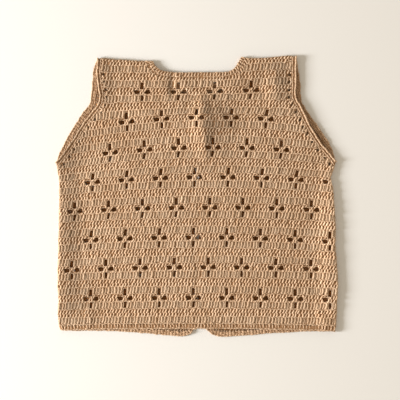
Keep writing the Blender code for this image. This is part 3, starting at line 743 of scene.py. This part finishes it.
class Yarn:
    """Gathers strands and makes one mesh of closed tubes."""

    def __init__(self, sides):
        self.sides = sides
        self.points, self.quads, self.caps, self.uvs = [], [], [], []
        self.tints, self.shades = [], []
        self.count = 0

    def add(self, centres, ups, radii, tints, shades, closed=False):
        """Strands as arrays: strand, section, then x y z; radii by strand and section."""
        strands, sections = centres.shape[:2]
        if strands == 0:
            return
        size = sections * self.sides
        start = self.count + np.arange(strands) * size
        self.points.append(self.rings(centres, ups, radii, closed))
        self.quads.append(self.walls(start, sections, closed))
        self.uvs.append(self.unrolled(centres, closed))
        if not closed:
            self.caps.append(self.ends(start, sections))
        self.tints.append(np.repeat(tints, size))
        self.shades.append(np.repeat(shades, size))
        self.count += strands * size

    def rings(self, centres, ups, radii, closed):
        """The corners round every section."""
        if closed:
            along = np.roll(centres, -1, axis=1) - np.roll(centres, 1, axis=1)
        else:
            along = np.gradient(centres, axis=1)
            span = centres[:, -1:] - centres[:, :1]
            level = along - (along * ups).sum(axis=2, keepdims=True) * ups
            weak = np.linalg.norm(level, axis=2, keepdims=True) < LEAST_STEP
            along = np.where(weak, np.broadcast_to(span, along.shape), along)
        along = unit(along)
        aside = unit(np.cross(along, ups))
        over = np.cross(aside, along)
        angles = np.arange(self.sides) * 2 * math.pi / self.sides
        ring = centres[:, :, None] + radii[:, :, None, None] * (
            np.cos(angles)[None, None, :, None] * aside[:, :, None]
            + np.sin(angles)[None, None, :, None] * over[:, :, None]
        )
        ring[..., 2] = np.maximum(ring[..., 2], LOWEST)
        return ring.reshape(-1, 3)

    def walls(self, start, sections, closed):
        """The faces from each section to the next."""
        here = np.arange(sections if closed else sections - 1)[None, :, None]
        low = start[:, None, None] + here * self.sides
        high = start[:, None, None] + (here + 1) % sections * self.sides
        corner = np.arange(self.sides)
        turned = (corner + 1) % self.sides
        quads = np.stack((low + corner, high + corner, high + turned, low + turned), axis=-1)
        return quads.reshape(-1, 4)

    def unrolled(self, centres, closed):
        """Length along a strand and share of the way round it, at each corner of its faces."""
        steps = np.linalg.norm(np.diff(centres, axis=1), axis=2)
        length = np.concatenate((np.zeros((len(steps), 1)), np.cumsum(steps, axis=1)), axis=1)
        if closed:
            length = np.concatenate((length, length[:, -1:] + steps[:, -1:]), axis=1)
        shape = (len(length), length.shape[1] - 1, self.sides)
        u_here = np.broadcast_to(length[:, :-1, None], shape)
        u_after = np.broadcast_to(length[:, 1:, None], shape)
        v_here = np.broadcast_to(np.arange(self.sides) / self.sides, shape)
        v_after = v_here + 1 / self.sides
        uv = np.stack((u_here, v_here, u_after, v_here, u_after, v_after, u_here, v_after), axis=-1)
        return uv.reshape(-1, 2)

    def ends(self, start, sections):
        """The faces that close the strands."""
        ring = np.arange(self.sides)
        last = (sections - 1) * self.sides
        return np.concatenate((start[:, None] + ring, start[:, None] + last + ring[::-1]))

    def build(self, name, material):
        """The mesh object, in the frame."""
        points = (np.concatenate(self.points) + MOVED) * MM
        quads = np.concatenate(self.quads)
        caps = np.concatenate(self.caps) if self.caps else np.zeros((0, self.sides), int)
        loops = np.concatenate((quads.ravel(), caps.ravel()))
        totals = np.concatenate((np.full(len(quads), 4), np.full(len(caps), self.sides)))
        starts = np.concatenate(([0], np.cumsum(totals)[:-1]))
        mesh = bpy.data.meshes.new(name)
        mesh.vertices.add(len(points))
        mesh.vertices.foreach_set("co", points.astype(np.float32).ravel())
        mesh.loops.add(len(loops))
        mesh.loops.foreach_set("vertex_index", loops.astype(np.int32))
        mesh.polygons.add(len(totals))
        mesh.polygons.foreach_set("loop_start", starts.astype(np.int32))
        mesh.polygons.foreach_set("loop_total", totals.astype(np.int32))
        mesh.update(calc_edges=True)
        mesh.polygons.foreach_set("use_smooth", np.ones(len(totals), dtype=bool))
        layer = mesh.uv_layers.new(name="yarn")
        uv = np.concatenate(self.uvs)
        uv = np.concatenate((uv, np.zeros((caps.size, 2))))
        layer.data.foreach_set("uv", uv.astype(np.float32).ravel())
        for name_of, values in (("tint", self.tints), ("shade", self.shades)):
            layer = mesh.attributes.new(name_of, "FLOAT", "POINT")
            layer.data.foreach_set("value", np.concatenate(values).astype(np.float32))
        mesh.materials.append(material)
        thing = bpy.data.objects.new(name, mesh)
        bpy.context.scene.collection.objects.link(thing)
        return finished(thing)


def finished(thing):
    """The piece rides on the body."""
    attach(thing, "root")
    return thing


def strand_points(strand, columns, rows, rng):
    """Column, row and height of a strand's points for each stitch, a little different each time."""
    across, up, height = np.array(strand.points).T
    count = len(columns)
    column = columns[:, None] + across[None] + rng.normal(0, JITTER_ACROSS, (count, 1))
    column += rng.normal(0, JITTER_LEAN, (count, 1)) * (up - up.mean())[None]
    row = rows[:, None] + up[None] + rng.normal(0, JITTER_UP, (count, 1))
    high = np.repeat(height[None], count, axis=0) + rng.normal(0, JITTER_HEIGHT, (count, 1))
    radii = strand.radius * (1 + rng.normal(0, JITTER_RADIUS, (count, 1)))
    taper = np.ones(len(height))
    taper[0] = taper[-1] = END_TAPER
    return column, row, high, radii * taper[None]


def cut_short(x, y, height, lost):
    """Ends each strand at its first lost point, keeping its longer side.

    Returns the strands that are left.
    """
    count = x.shape[1]
    order = np.arange(count)[None]
    hit = lost.any(axis=1)
    before = np.where(hit, lost.argmax(axis=1), count)
    after = np.where(hit, lost[:, ::-1].argmax(axis=1), 0)
    first_part = before >= after
    stop = np.where(first_part, before, count - 1 - after)[:, None]
    picked = np.where(first_part[:, None], np.minimum(order, stop), np.maximum(order, stop))
    picked = np.clip(picked, 0, count - 1)
    past = order - picked
    rows = np.arange(len(x))[:, None]
    neighbour = np.clip(picked - np.sign(past), 0, count - 1)
    step_x, step_y = x[rows, picked] - x[rows, neighbour], y[rows, picked] - y[rows, neighbour]
    size = np.maximum(np.hypot(step_x, step_y), TINY_AWAY)
    new_x = x[rows, picked] + step_x / size * END_STEP * np.abs(past)
    new_y = y[rows, picked] + step_y / size * END_STEP * np.abs(past)
    x[:], y[:], height[:] = new_x, new_y, height[rows, picked]
    return ~hit | (np.maximum(before, after) >= LEAST_KEPT)


def kept_out(x, y, height, holes, clear):
    """Moves strands off the holes, and ends one that would cross a hole at its rim."""
    inner = np.zeros(x.shape, dtype=bool)
    for hole in holes:
        low, high = hole.min(axis=0) - clear, hole.max(axis=0) + clear
        near = (x > low[0]) & (x < high[0]) & (y > low[1]) & (y < high[1])
        if not near.any():
            continue
        px, py = x[near], y[near]
        within = inside(px, py, hole)
        on_x, on_y, away = nearest_on(px, py, hole)
        close = within | (away < clear)
        sign = np.where(within, 1.0, -1.0) / np.maximum(away, TINY_AWAY) * clear
        x[near] = np.where(close, on_x + (on_x - px) * sign, px)
        y[near] = np.where(close, on_y + (on_y - py) * sign, py)
        inner[near] |= within
    return cut_short(x, y, height, inner)


def held_in(x, y, height, outline):
    """Ends strands at an outline."""
    outer = ~inside(x, y, outline)
    if outer.any():
        on_x, on_y, _ = nearest_on(x[outer], y[outer], outline)
        x[outer], y[outer] = on_x, on_y
    return cut_short(x, y, height, outer)


def shade(centres):
    """Painted light and shade of each strand of the back, by the slopes of the swells and the patches."""
    middle = centres.mean(axis=1)
    x, y = middle[:, 0], middle[:, 1]
    slope = raised_by(SWELLS, x + SLOPE_STEP, y) - raised_by(SWELLS, x - SLOPE_STEP, y)
    light = SLOPE_SHADE * slope / (2 * SLOPE_STEP) + raised_by(PATCHES, x, y)
    light *= middle[:, 2] > TURN_MIDDLE
    return np.clip(1.0 + light, *SHADE_RANGE)


def add_stitches(yarn, rows, columns, places, surface, outline, holes, rng):
    """Adds the stitches of these rows and columns that lie in the outline and off the holes."""
    for row in rows:
        template = POST_ROW if row % 2 else HOOK_ROW
        count = len(columns)
        for strand in template.values():
            column, level, height, radii = strand_points(
                strand, columns.astype(float), np.full(count, float(row)), rng
            )
            x, y = places(column, level)
            kept = held_in(x, y, height, outline)
            kept &= kept_out(x, y, height, holes, strand.radius + STRAND_CLEAR)
            kept &= np.hypot(x[:, -1] - x[:, 0], y[:, -1] - y[:, 0]) > LEAST_LENGTH
            centres, ups = surface(x[kept], y[kept], height[kept])
            shades = shade(centres) * strand.light
            yarn.add(centres, ups, radii[kept], rng.random(int(kept.sum())), shades)


def grown(outline, distance):
    """An outline moved outwards."""
    ahead = np.roll(outline, -1, axis=0) - outline
    turn = outline[:, 0] * np.roll(outline[:, 1], -1) - outline[:, 1] * np.roll(outline[:, 0], -1)
    ahead *= np.sign(turn.sum()) / np.maximum(np.linalg.norm(ahead, axis=1, keepdims=True), TINY)
    out = np.stack((ahead[:, 1], -ahead[:, 0]), axis=1)
    return outline + unit(out + np.roll(out, 1, axis=0)) * distance


def loops_round(yarn, holes, surface, rng):
    """Rim yarn round each hole."""
    for hole in holes:
        corners = grown(hole, RIM_OUTSIDE)
        ring = np.empty((len(hole) * 2, 2))
        ring[0::2] = corners
        ring[1::2] = (corners + np.roll(corners, -1, axis=0)) / 2
        height = RIM_HEIGHT + rng.normal(0, JITTER_HEIGHT, len(ring))
        centres, ups = surface(ring[:, 0], ring[:, 1], height)
        radii = np.full((1, len(ring)), RIM_RADIUS)
        yarn.add(centres[None], ups[None], radii, rng.random(1), shade(centres[None]), closed=True)


def back_holes(outline):
    """The petals cut through the back, each as its corners."""
    holes = []
    for index, flowers in enumerate(FLOWER_ROWS):
        for k in range(flowers.count):
            column = flowers.first + REPEAT * k
            for corners in PETALS.values():
                s, t = np.array(corners).T
                x, y = stitch_places(column + s, index * ROWS_APART + t)
                holes.append(np.stack((x, y), axis=1))
    return [hole for hole in holes if fits(hole, outline)]


def front_holes(side, outline):
    """The side petals of one front's flowers, kept only where both of a flower's fit."""
    holes = []
    for index in range(FRONT_FLOWER_ROWS):
        for number in FLOWERS_EACH_WAY:
            column = REPEAT * number + ODD_SHIFT * (index % 2)
            pair = []
            for petal in FRONT_PETALS:
                s, t = np.array(PETALS[petal][::-1]).T
                x, y = front_places(side, column + s, index * ROWS_APART + t)
                pair.append(np.stack((x, y), axis=1))
            if SIDES[side] * pair[0][0][0] > 0 and all(fits(hole, outline) for hole in pair):
                holes += pair
    return holes


def loose_spots(side, rng):
    """The spots along an armhole where the yarn pulls apart, each as its corners."""
    line = EDGES["back_arm_" + side][2]
    line = line[np.argsort(line[:, 1])]
    spots = []
    for level in np.arange(*SPOT_LEVELS, ROW_HEIGHT):
        y = level + rng.normal(0, SPOT_WANDER)
        inward = SPOT_INWARD + rng.normal(0, SPOT_WANDER)
        x = np.interp(y, line[:, 1], line[:, 0]) - SIDES[side] * inward
        spots.append(np.array(SPOT) * rng.uniform(*SPOT_SIZES[side]) + (x, y))
    return spots


def away_from(holes, others):
    """The holes that don't lie at the place of any of the others."""
    middles = np.array([other.mean(axis=0) for other in others])
    return [h for h in holes if np.hypot(*(middles - h.mean(axis=0)).T).min() > SAME_PLACE]


def fits(hole, outline):
    """Whether a hole lies inside an outline with its margin."""
    x, y = hole.T
    _, _, away = nearest_on(x, y, outline)
    return bool(inside(x, y, outline).all() and (away > HOLE_MARGIN).all())


# Cross sections of an edging: free and sewn spot, turn and the way out of its fold
Section = namedtuple("Section", "free sewn turn out")


def flat_sections(edges, level, span):
    """Cross sections of an edging where it lies flat."""
    free, sewn = edges[0][span], edges[1][span]
    return [Section(a, b, level, np.zeros(2)) for a, b in zip(free, sewn)]


def turned_sections(fold, outward, down):
    """Cross sections of an edging where it turns over, downwards or back up."""
    free, sewn = np.array(fold.free), np.array(fold.sewn)
    along = (sewn - free) / np.linalg.norm(sewn - free)
    out = np.array((along[1], -along[0]))
    if out @ np.array(outward) < 0:
        out = -out
    turns = STRIP_ROLL if down else STRIP_ROLL[::-1]
    return [Section(free, sewn, turn, out) for turn in turns]


def edging_points(sections, closed, along, share, height):
    """Points of an edging: distance along it, share of its width from its sewn edge, height."""
    if closed:
        sections = [*sections, sections[0]]
    free, sewn, turn, out = (np.array(column) for column in zip(*sections))
    middle = np.concatenate(
        (
            (free + sewn) / 2 + out * (TURN_OUTER * np.sin(turn))[:, None],
            (TURN_MIDDLE + TURN_OUTER * np.cos(turn))[:, None],
        ),
        axis=1,
    )
    reach = np.concatenate(([0], np.cumsum(np.linalg.norm(np.diff(middle, axis=0), axis=1))))
    if closed:
        along = np.mod(along, reach[-1])
    mix = [np.interp(along, reach, column) for column in (*free.T, *sewn.T, turn, *out.T)]
    free_x, free_y, sewn_x, sewn_y, angle, out_x, out_y = mix
    flat_x = sewn_x + (free_x - sewn_x) * share
    flat_y = sewn_y + (free_y - sewn_y) * share
    size = np.maximum(np.hypot(out_x, out_y), TINY)
    inner = np.clip((angle - INNER_FROM) / (DOWN - INNER_FROM), 0.0, 1.0)
    out = (out_x / size, out_y / size)
    places, ups = turned_over(flat_x, flat_y, out, angle, height * (1.0 - 2.0 * inner))
    return places, ups, reach[-1]


def edging_stitches(name, sections, closed, templates, spots, material, rng):
    """The stitches of one edging as a piece, from a template for the back and one for the fronts."""
    yarn = Yarn(BACK_SIDES)
    zero = np.zeros(1)
    _, _, length = edging_points(sections, closed, zero, zero, zero)
    count = int(round(length / EDGING_PITCH))
    pitch = length / count
    numbers = np.arange(count) + 0.5
    _, ups, _ = edging_points(sections, closed, numbers * pitch, np.full(count, 0.5), np.zeros(count))
    under = ups[:, 2] < 0
    # Stitches on a front's side take a higher tint, which paints them darker as shade
    for template, chosen, dark in zip(templates, (numbers[~under], numbers[under]), (0.0, FRONT_PAINTED_SHADE)):
        for strand in template.values():
            column, share, height, radii = strand_points(strand, chosen, np.zeros(len(chosen)), rng)
            along = column * pitch
            if not closed:
                along = np.clip(along, EDGING_END, length - EDGING_END)
            centres, ups, _ = edging_points(sections, closed, along, share, height)
            kept = np.ones(len(chosen), dtype=bool)
            for spot in spots:
                over = inside(centres[..., 0], centres[..., 1], grown(spot, strand.radius))
                kept &= ~(over & (ups[..., 2] > 0)).any(axis=1)
            tints = rng.random(len(chosen)) + dark
            shades = shade(centres[kept]) * strand.light
            yarn.add(centres[kept], ups[kept], radii[kept], tints[kept], shades)
    hollows(yarn, spots)
    return yarn.build(name, material)


def hollows(yarn, spots):
    """Deep strands in the spots where the yarn pulls apart, painted dark for the shade in them."""
    for spot in spots:
        size = (spot[1, 0] - spot[0, 0]) / (SPOT[1][0] - SPOT[0][0])
        low, high = spot[0, 1], spot[2, 1]
        for across in HOLLOW_STRANDS:
            x = np.full(HOLLOW_POINTS, spot[:2, 0].mean() + across * size)
            y = np.linspace(low, high - abs(across) * HOLLOW_SHORTER * size, HOLLOW_POINTS)
            centres, ups = on_back(x, y, np.full(HOLLOW_POINTS, HOLLOW_HEIGHT))
            radii = np.full((1, HOLLOW_POINTS), HOLLOW_RADIUS)
            yarn.add(centres[None], ups[None], radii, np.ones(1), np.full(1, HOLLOW_SHADE))


def new_material(name, roughness, specular):
    """A material with its node tree and its shader."""
    material = bpy.data.materials.new(name)
    material.use_nodes = True
    shader = material.node_tree.nodes["Principled BSDF"]
    shader.inputs["Roughness"].default_value = roughness
    shader.inputs["Specular IOR Level"].default_value = specular
    return material, material.node_tree, shader


def added(tree, kind, output, inputs, **settings):
    """An output of a new node, with its inputs as numbers, colours or other nodes' outputs."""
    node = tree.nodes.new("ShaderNode" + kind)
    for name, value in settings.items():
        setattr(node, name, value)
    for name, value in inputs.items():
        if isinstance(value, bpy.types.NodeSocket):
            tree.links.new(value, node.inputs[name])
        else:
            node.inputs[name].default_value = value
    return node.outputs[output]


def noise(tree, scale, detail=CLOUD_DETAIL):
    """The value of a noise through the piece."""
    place = added(tree, "TexCoord", "Object", {})
    return added(tree, "TexNoise", "Fac", {"Vector": place, "Scale": scale, "Detail": detail})


def worked_out(tree, operation, *given):
    """What an operation makes of numbers and of other nodes' outputs."""
    return added(tree, "Math", 0, dict(enumerate(given)), operation=operation)


def mixed(tree, first, second, share):
    """A colour between two colours."""
    inputs = {"A": (*first, 1.0), "B": (*second, 1.0), "Factor": share}
    return added(tree, "Mix", "Result", inputs, data_type="RGBA")


def bumped(tree, shader, height, strength, distance):
    """Lets the light fall on the surface as if it had these heights."""
    inputs = {"Height": height, "Strength": strength, "Distance": distance}
    tree.links.new(added(tree, "Bump", "Normal", inputs), shader.inputs["Normal"])


def yarn_material(name, light, dark):
    """Matt cotton yarn: plies twisted together, a little uneven in colour, and lighter or darker by the
    painted light and shade that each strand carries.
    """
    material, tree, shader = new_material(name, YARN_ROUGHNESS, YARN_SPECULAR)
    tint, shaded = (added(tree, "Attribute", "Fac", {}, attribute_name=k) for k in ("tint", "shade"))
    cloudy, mottled = noise(tree, CLOUD_SCALE), noise(tree, MOTTLE_SCALE, MOTTLE_DETAIL)
    uneven = worked_out(tree, "ADD", cloudy, mottled)
    uneven = worked_out(tree, "MULTIPLY_ADD", tint, TINT_SHARE, uneven)
    low, high = TINT_RANGE
    share = added(tree, "MapRange", "Result", {"Value": uneven, "From Min": low, "From Max": high})
    inputs = {"Vector": mixed(tree, light, dark, share), "Scale": shaded}
    colour = added(tree, "VectorMath", "Vector", inputs, operation="SCALE")
    tree.links.new(colour, shader.inputs["Base Color"])
    unrolled = added(tree, "UVMap", "UV", {}, uv_map="yarn")
    length, way_round = (added(tree, "SeparateXYZ", k, {"Vector": unrolled}) for k in ("X", "Y"))
    along = worked_out(tree, "MULTIPLY", length, 2 * math.pi / TWIST_LENGTH)
    around = worked_out(tree, "MULTIPLY_ADD", way_round, 2 * math.pi * PLIES, along)
    wave = worked_out(tree, "SINE", around)
    height = worked_out(tree, "MULTIPLY_ADD", wave, TWIST_SHARE, noise(tree, FIBRE_SCALE))
    bumped(tree, shader, height, *YARN_BUMP)
    return material


def core_material():
    """Yarn deep between the stitches, painted darker for the shade that falls there."""
    material, tree, shader = new_material("yarn_deep_painted_shade", CORE_ROUGHNESS, CORE_SPECULAR)
    dark, light = ([value * (1 + spread) for value in CORE] for spread in (-CORE_SPREAD, CORE_SPREAD))
    tree.links.new(mixed(tree, dark, light, noise(tree, CORE_SCALE)), shader.inputs["Base Color"])
    return material


def floor_material():
    """Smooth pale paper."""
    material, tree, shader = new_material("surface", FLOOR_ROUGHNESS, FLOOR_SPECULAR)
    shader.inputs["Base Color"].default_value = (*FLOOR, 1.0)
    bumped(tree, shader, noise(tree, FLOOR_SCALE), *FLOOR_BUMP)
    return material


def core(node, material):
    """The cloth of a node, thinner on both sides, which stands for it under its stitches."""
    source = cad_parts[node]
    mesh = source.data.copy()
    thing = bpy.data.objects.new(node + "_cloth", mesh)
    bpy.context.scene.collection.objects.link(thing)
    count = len(mesh.vertices)
    places = np.empty(count * 3)
    mesh.vertices.foreach_get("co", places)
    places = places.reshape(-1, 3)
    _, same = np.unique(np.round(places, SAME_DIGITS), axis=0, return_inverse=True)
    same = same.ravel()
    normals = np.zeros((same.max() + 1, 3))
    for polygon in mesh.polygons:
        normal = np.array(polygon.normal) * math.sqrt(polygon.area)
        for vertex in polygon.vertices:
            normals[same[vertex]] += normal
    places -= unit(normals)[same] * CORE_INSET * MM
    flat = places / MM - MOVED
    upper = np.clip((flat[:, 2] - TURN_MIDDLE) / WALL, 0.0, 1.0)
    places[:, 2] += raised_by(SWELLS, flat[:, 0], flat[:, 1]) * upper * MM
    mesh.vertices.foreach_set("co", places.ravel())
    mesh.materials.clear()
    mesh.materials.append(material)
    mesh.update()
    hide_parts(node)
    return finished(thing)


def back_pieces(gaps, spots, yarn, rng):
    """The back's stitches, some rows to a piece. The first also has the rims of all gaps."""
    holes = gaps + spots["left"] + spots["right"]
    outline = grown(back_outline(WRAP), OVERLAP)
    pieces = []
    for number, rows in enumerate(PIECES_OF_BACK, 1):
        piece = Yarn(BACK_SIDES)
        add_stitches(piece, range(*rows), BACK_COLUMNS, stitch_places, on_back, outline, holes, rng)
        if number == 1:
            loops_round(piece, gaps, on_back, rng)
        pieces.append(piece.build(f"back_stitches_{number}", yarn))
    return pieces


def front_piece(side, gaps, yarn, rng):
    """A front's stitches and the rims of its gaps, but for those under the back's."""
    holes = away_from(front_holes(side, front_outline(side)), gaps)
    outline = grown(front_outline(side, MIDDLE_LOOPS), -FRONT_SHORT)
    places = partial(front_places, side)
    piece = Yarn(FRONT_SIDES)
    add_stitches(piece, FRONT_ROWS, FRONT_COLUMNS[side], places, on_front, outline, holes, rng)
    loops_round(piece, holes, on_front, rng)
    return piece.build(f"front_{side}_stitches", yarn)


def ring_sections(side):
    """Cross sections of an armhole edging, once round."""
    return [
        *flat_sections(EDGES["back_arm_" + side], UP, slice(1, -1)),
        *turned_sections(FOLDS[side + "_underarm"], (SIDES[side], 0), True),
        *flat_sections(EDGES["front_arm_" + side], DOWN, slice(-2, 0, -1)),
        *turned_sections(FOLDS[side + "_shoulder"], (0, 1), False),
    ]


def strip_sections(name, left_way, right_way):
    """Cross sections of the neck's or the hem's edging, from the left front to the right one."""
    return [
        *flat_sections(EDGES[f"front_{name}_left"], DOWN, slice(None, 0, -1)),
        *turned_sections(FOLDS["left_" + name], left_way, False),
        *flat_sections(EDGES["back_" + name], UP, slice(1, -1)),
        *turned_sections(FOLDS["right_" + name], right_way, True),
        *flat_sections(EDGES[f"front_{name}_right"], DOWN, slice(1, None)),
    ]


def build_vest():
    """The cloth of every node and all the stitches over it."""
    rng = np.random.default_rng(SEED)
    yarn = yarn_material("yarn", YARN, YARN_DARK)
    # The fronts' stitches take the yarn painted in the shade under the back
    under = yarn_material("yarn_under_painted_shade", UNDER_PAINTED_SHADE, UNDER_PAINTED_SHADE_DARK)
    deep = core_material()
    cores = {node: core(node, deep) for node in SHEETS}
    gaps = back_holes(back_outline())
    spots = {side: loose_spots(side, rng) for side in SIDES}
    stitches = {"back": back_pieces(gaps, spots, yarn, rng)}
    for side in SIDES:
        stitches["front_" + side] = [front_piece(side, gaps, under, rng)]
    edgings = [
        ("armhole_edging_" + side, ring_sections(side), True, ARMHOLE_STITCH, spots[side])
        for side in SIDES
    ]
    edgings.append(("neck_edging", strip_sections("neck", (0, 1), (0, 1)), False, NECK_STITCH, ()))
    edgings.append(("hem_edging", strip_sections("hem", (-1, 0), (1, 0)), False, HEM_STITCH, ()))
    for name, sections, closed, template, loose in edgings:
        templates = (template, FRONT_STITCH)
        made = edging_stitches(name + "_stitches", sections, closed, templates, loose, yarn, rng)
        stitches[name] = [made]
    return cores, stitches


def key_light():
    """A square soft light, low on the left and aimed at the vest."""
    data = bpy.data.lights.new("key", "AREA")
    data.shape = "SQUARE"
    data.size = KEY_SIZE
    data.energy = KEY_POWER
    data.color = KEY_COLOUR
    lamp = bpy.data.objects.new("key", data)
    bpy.context.scene.collection.objects.link(lamp)
    lamp.location = KEY_PLACE
    way = -np.array(KEY_PLACE)
    yaw = math.atan2(way[1], way[0]) - math.pi / 2
    pitch = math.atan2(way[2], math.hypot(way[0], way[1])) + math.pi / 2
    lamp.rotation_euler = (pitch, 0.0, yaw)


def room():
    """The light of the room, which falls off upwards."""
    world = bpy.data.worlds.new("studio")
    world.use_nodes = True
    tree = world.node_tree
    sky = tree.nodes["Background"]
    sky.inputs["Color"].default_value = (*ROOM, 1.0)
    way = added(tree, "TexCoord", "Generated", {})
    inputs = {
        "Value": added(tree, "SeparateXYZ", "Z", {"Vector": way}),
        "To Min": HORIZON_LIGHT,
        "To Max": OVERHEAD_LIGHT,
    }
    tree.links.new(added(tree, "MapRange", "Result", inputs), sky.inputs["Strength"])
    bpy.context.scene.world = world


def studio():
    """The floor, the lights and the camera."""
    bpy.ops.mesh.primitive_plane_add(size=FLOOR_SIZE, location=(0.0, 0.0, 0.0))
    floor = bpy.context.object
    floor.name = "surface"
    floor.data.materials.append(floor_material())
    key_light()
    room()
    data = bpy.data.cameras.new("camera")
    data.sensor_width = SENSOR
    data.sensor_fit = "HORIZONTAL"
    data.lens = SENSOR * (CAMERA_HEIGHT - GARMENT_LEVEL) / VIEW_WIDTH
    camera = bpy.data.objects.new("camera", data)
    camera.location = (*VIEW_CENTRE, CAMERA_HEIGHT)
    bpy.context.scene.collection.objects.link(camera)
    bpy.context.scene.camera = camera
    bpy.context.scene.view_settings.view_transform = "Standard"
    bpy.context.scene.view_settings.look = "None"


studio()
vest_cores, vest_stitches = build_vest()
